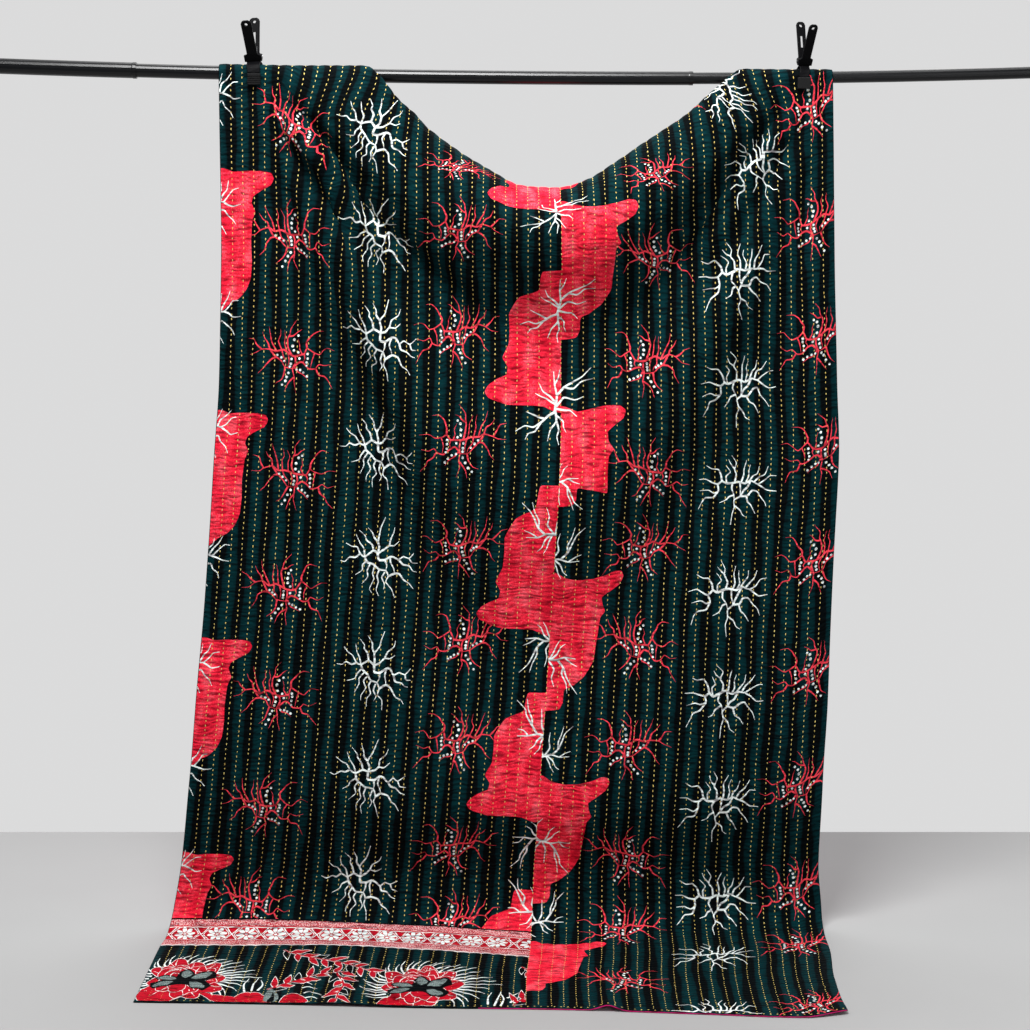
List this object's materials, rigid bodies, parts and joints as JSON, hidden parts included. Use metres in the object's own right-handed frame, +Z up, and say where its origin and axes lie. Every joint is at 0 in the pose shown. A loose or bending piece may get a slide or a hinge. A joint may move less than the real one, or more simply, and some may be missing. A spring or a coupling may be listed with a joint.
{
  "type": "kantha quilt hung on a telescopic rod",
  "caption": "Kantha quilt pieced from printed cotton saris, clamped over a telescopic rod with a swag between the clamps and its lower end laid on the floor.",
  "frame": {"origin": "on the floor, under the middle of the part's own box", "axes": "+X along the rod, to the right as seen from the front; +Y away from the printed face; +Z up"},
  "size_m": [2.2, 0.5765, 1.9499],
  "materials": {
    "printed_cotton": "matte woven cotton, printed and hand quilted",
    "black_paint": "satin black",
    "black_plastic": "moulded, slightly glossy",
    "black_rubber": "matte",
    "spring_steel": "bright drawn wire"
  },
  "bodies": {
    "root": {"quilt": "printed_cotton", "rod_thick_tube": "black_paint", "rod_middle_tube": "black_paint", "rod_thin_tube": "black_paint", "left_clamp_front_lever": "black_plastic", "left_clamp_front_cap": "black_rubber", "left_clamp_back_lever": "black_plastic", "left_clamp_back_cap": "black_rubber", "left_clamp_pivot_pin": "spring_steel", "left_clamp_spring": "spring_steel", "right_clamp_front_lever": "black_plastic", "right_clamp_front_cap": "black_rubber", "right_clamp_back_lever": "black_plastic", "right_clamp_back_cap": "black_rubber", "right_clamp_pivot_pin": "spring_steel", "right_clamp_spring": "spring_steel"}
  },
  "joints": []
}
